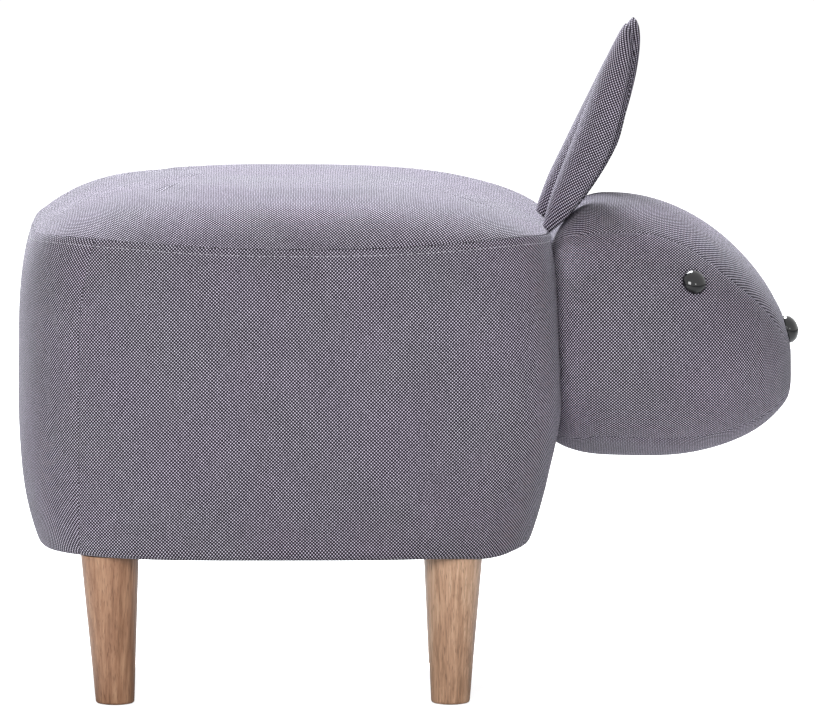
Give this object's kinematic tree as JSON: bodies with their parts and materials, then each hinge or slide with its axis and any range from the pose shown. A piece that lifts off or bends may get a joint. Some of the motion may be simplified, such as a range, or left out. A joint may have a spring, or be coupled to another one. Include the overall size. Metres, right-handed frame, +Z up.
{
  "type": "footstool",
  "caption": "Rabbit-shaped upholstered footstool: padded box body on tapered wooden legs, stuffed head with folded upright ears, domed eyes and nose.",
  "frame": {"origin": "on the floor, under the middle of the whole stool", "axes": "+X towards the nose, +Y to the animal's left, +Z up"},
  "size_m": [0.6211, 0.34, 0.5384],
  "materials": {
    "cover_fabric": "matt two-tone basket weave upholstery, grey-lilac",
    "dust_cloth": "black non-woven cloth",
    "foam": "cream upholstery foam and filling",
    "plywood": "raw plywood and pine blocks",
    "hardboard": "raw hardboard",
    "turned_wood": "satin lacquered mid-brown hardwood, grain lengthwise",
    "steel": "zinc plated",
    "black_plastic": "moulded",
    "gloss_black": "polished dome"
  },
  "bodies": {
    "root": {"seat_cover": "cover_fabric", "right_side_cover": "cover_fabric", "left_side_cover": "cover_fabric", "rear_cover": "cover_fabric", "front_cover": "cover_fabric", "head_gusset_cover": "cover_fabric", "right_cheek_cover": "cover_fabric", "left_cheek_cover": "cover_fabric", "chin_cover": "cover_fabric", "right_ear": "cover_fabric", "left_ear": "cover_fabric", "dust_cover": "dust_cloth", "seat_foam": "foam", "right_foam": "foam", "left_foam": "foam", "rear_foam": "foam", "front_foam": "foam", "head_foam": "foam", "base_board": "plywood", "seat_board": "plywood", "right_side_board": "plywood", "left_side_board": "plywood", "front_board": "plywood", "rear_board": "plywood", "centre_brace": "plywood", "head_plate": "plywood", "front_right_corner_block": "plywood", "front_left_corner_block": "plywood", "rear_right_corner_block": "plywood", "rear_left_corner_block": "plywood", "side_wrap": "hardboard", "front_right_leg": "turned_wood", "front_left_leg": "turned_wood", "rear_right_leg": "turned_wood", "rear_left_leg": "turned_wood", "front_right_hanger_bolt": "steel", "front_left_hanger_bolt": "steel", "rear_right_hanger_bolt": "steel", "rear_left_hanger_bolt": "steel", "front_right_tee_nut": "steel", "front_left_tee_nut": "steel", "rear_right_tee_nut": "steel", "rear_left_tee_nut": "steel", "upper_head_bolt": "steel", "upper_head_washer": "steel", "upper_head_nut": "steel", "lower_head_bolt": "steel", "lower_head_washer": "steel", "lower_head_nut": "steel", "front_right_glide": "black_plastic", "front_left_glide": "black_plastic", "rear_right_glide": "black_plastic", "rear_left_glide": "black_plastic", "right_eye_washer": "black_plastic", "left_eye_washer": "black_plastic", "nose_washer": "black_plastic", "right_eye": "gloss_black", "left_eye": "gloss_black", "nose": "gloss_black"}
  },
  "joints": []
}
